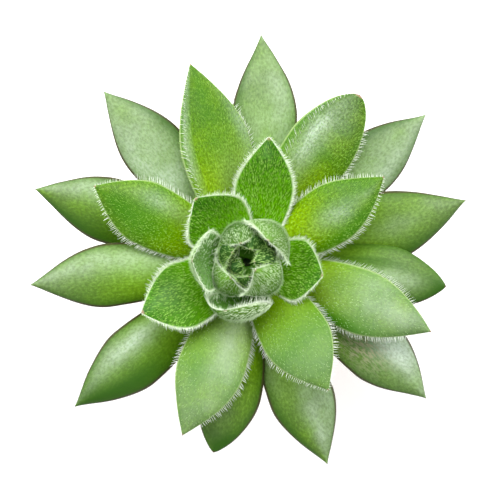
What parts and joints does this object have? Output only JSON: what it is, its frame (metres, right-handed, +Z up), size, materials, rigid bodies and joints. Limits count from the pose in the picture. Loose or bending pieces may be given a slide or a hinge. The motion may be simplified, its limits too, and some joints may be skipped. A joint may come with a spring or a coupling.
{
  "type": "potted houseleek",
  "caption": "Open rosette of fleshy, hair-fringed leaves round a closed bud, on a short stem in a plain tapered clay flowerpot of soil.",
  "frame": {"origin": "centre of the pot's flat base", "axes": "+Z up along the pot's axis, +Y towards the top of the plan view of the rosette, +X to its right"},
  "size_m": [0.1081, 0.1072, 0.08],
  "materials": {
    "clay": "matte",
    "soil": "matte",
    "stem": "matte",
    "bud_leaf": "matte",
    "inner_leaf": "matte",
    "middle_leaf": "satin",
    "outer_leaf": "satin"
  },
  "bodies": {
    "root": {"pot": "clay", "soil": "soil", "stem": "stem", "heart": "bud_leaf", "leaf_01": "bud_leaf", "leaf_02": "bud_leaf", "leaf_03": "bud_leaf", "leaf_04": "bud_leaf", "leaf_05": "bud_leaf", "leaf_06": "bud_leaf", "leaf_07": "inner_leaf", "leaf_08": "inner_leaf", "leaf_09": "inner_leaf", "leaf_10": "inner_leaf", "leaf_11": "middle_leaf", "leaf_12": "middle_leaf", "leaf_13": "middle_leaf", "leaf_14": "middle_leaf", "leaf_15": "middle_leaf", "leaf_16": "middle_leaf", "leaf_17": "outer_leaf", "leaf_18": "middle_leaf", "leaf_19": "outer_leaf", "leaf_20": "outer_leaf", "leaf_21": "outer_leaf", "leaf_22": "outer_leaf", "leaf_23": "outer_leaf", "leaf_24": "outer_leaf", "leaf_25": "outer_leaf", "leaf_26": "outer_leaf", "leaf_27": "outer_leaf", "leaf_28": "outer_leaf"}
  },
  "joints": []
}
